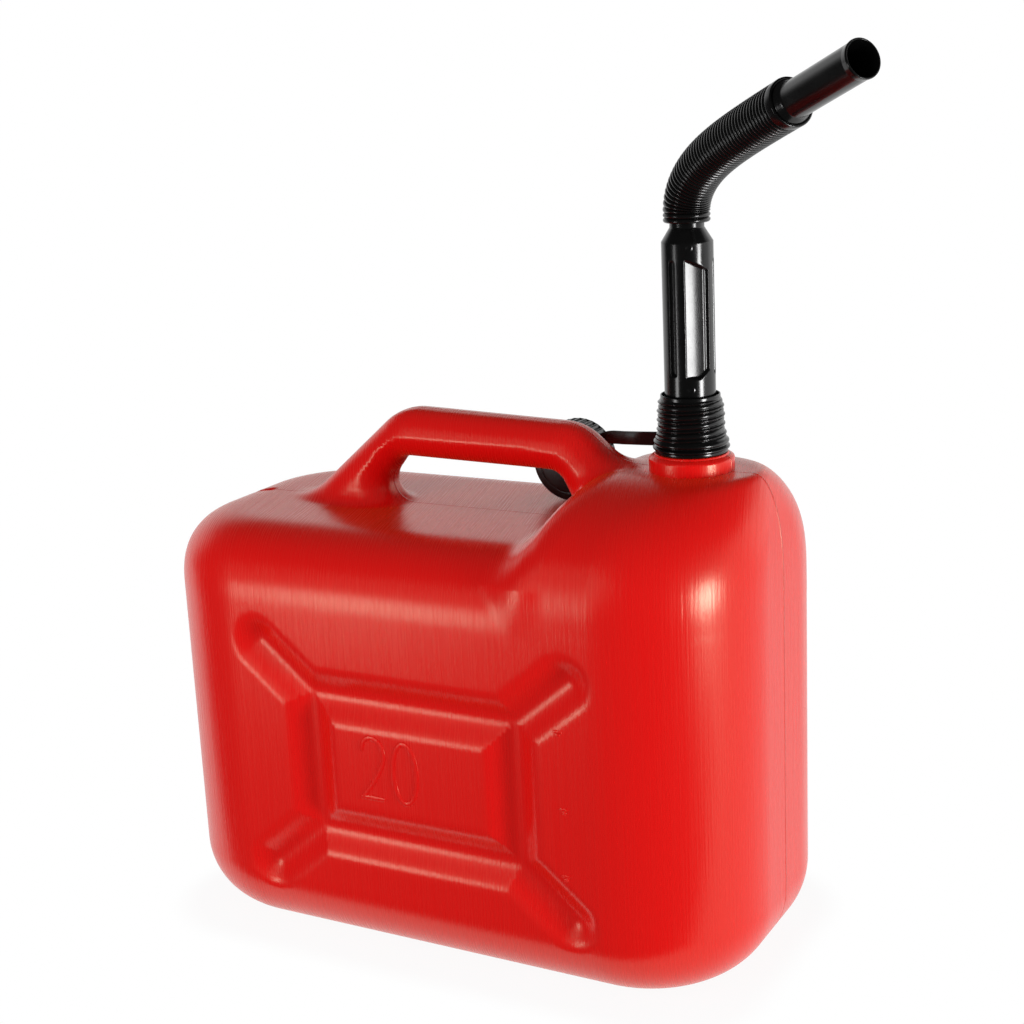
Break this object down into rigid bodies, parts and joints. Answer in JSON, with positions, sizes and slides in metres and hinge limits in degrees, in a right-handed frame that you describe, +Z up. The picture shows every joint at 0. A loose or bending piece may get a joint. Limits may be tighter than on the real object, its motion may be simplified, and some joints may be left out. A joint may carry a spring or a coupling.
{
  "type": "plastic jerrycan",
  "caption": "Blow-moulded plastic jerrycan with a top handle, a screw-on spout with a ribbed bending hose, and a tethered cap.",
  "frame": {"origin": "centre of the flat base, midway between the two broad faces and the two ends of the tank", "axes": "+X points to the neck end, +Y to the broad face away from the spout's nozzle, +Z up from the base to the neck"},
  "size_m": [0.4873, 0.212, 0.5566],
  "materials": {
    "red_hdpe": "blow-moulded high-density polyethylene, satin with a faint grain",
    "black_pe": "injection-moulded black polyethylene, satin gloss",
    "black_rubber": "matt nitrile rubber"
  },
  "bodies": {
    "can": {"can_body": "red_hdpe"},
    "spout_seat": {"spout_gasket": "black_rubber"},
    "collar": {"screw_collar": "black_pe"},
    "spout": {"grip_tube": "black_pe", "flex_hose": "black_pe"},
    "nozzle": {"nozzle_tube": "black_pe"},
    "tether": {"cap_tether": "black_pe"},
    "cap": {"storage_cap": "black_pe", "cap_liner": "black_rubber"}
  },
  "joints": [
    {"name": "spout_lift", "type": "slide", "parent": "can", "child": "spout_seat", "axis": [0, 0, 1], "range_m": [0, 0.0108]},
    {"name": "collar_turn", "type": "hinge", "parent": "spout_seat", "child": "collar", "pos_m": [0.1457, 0, 0.33], "axis": [0, 0, 1], "range_deg": [0, 720]},
    {"name": "spout_swivel", "type": "hinge", "parent": "spout_seat", "child": "spout", "pos_m": [0.1457, 0, 0.342], "axis": [0, 0, 1], "continuous": true},
    {"name": "nozzle_bend", "type": "hinge", "parent": "spout", "child": "nozzle", "pos_m": [0.1457, 0, 0.4885], "axis": [-0.5446, -0.8387, 0], "range_deg": [-35, 60], "deforming": ["flex_hose"]},
    {"name": "tether_swing", "type": "hinge", "parent": "can", "child": "tether", "pos_m": [0.1457, 0, 0.323], "axis": [0, 0, -1], "range_deg": [0, 5]},
    {"name": "cap_spin", "type": "hinge", "parent": "tether", "child": "cap", "pos_m": [0.046, 0.04, 0.2998], "axis": [0, 1, 0], "continuous": true}
  ],
  "couplings": [
    {"joint": "spout_lift", "follows": "collar_turn", "m_per_rad": 0.00085944}
  ]
}
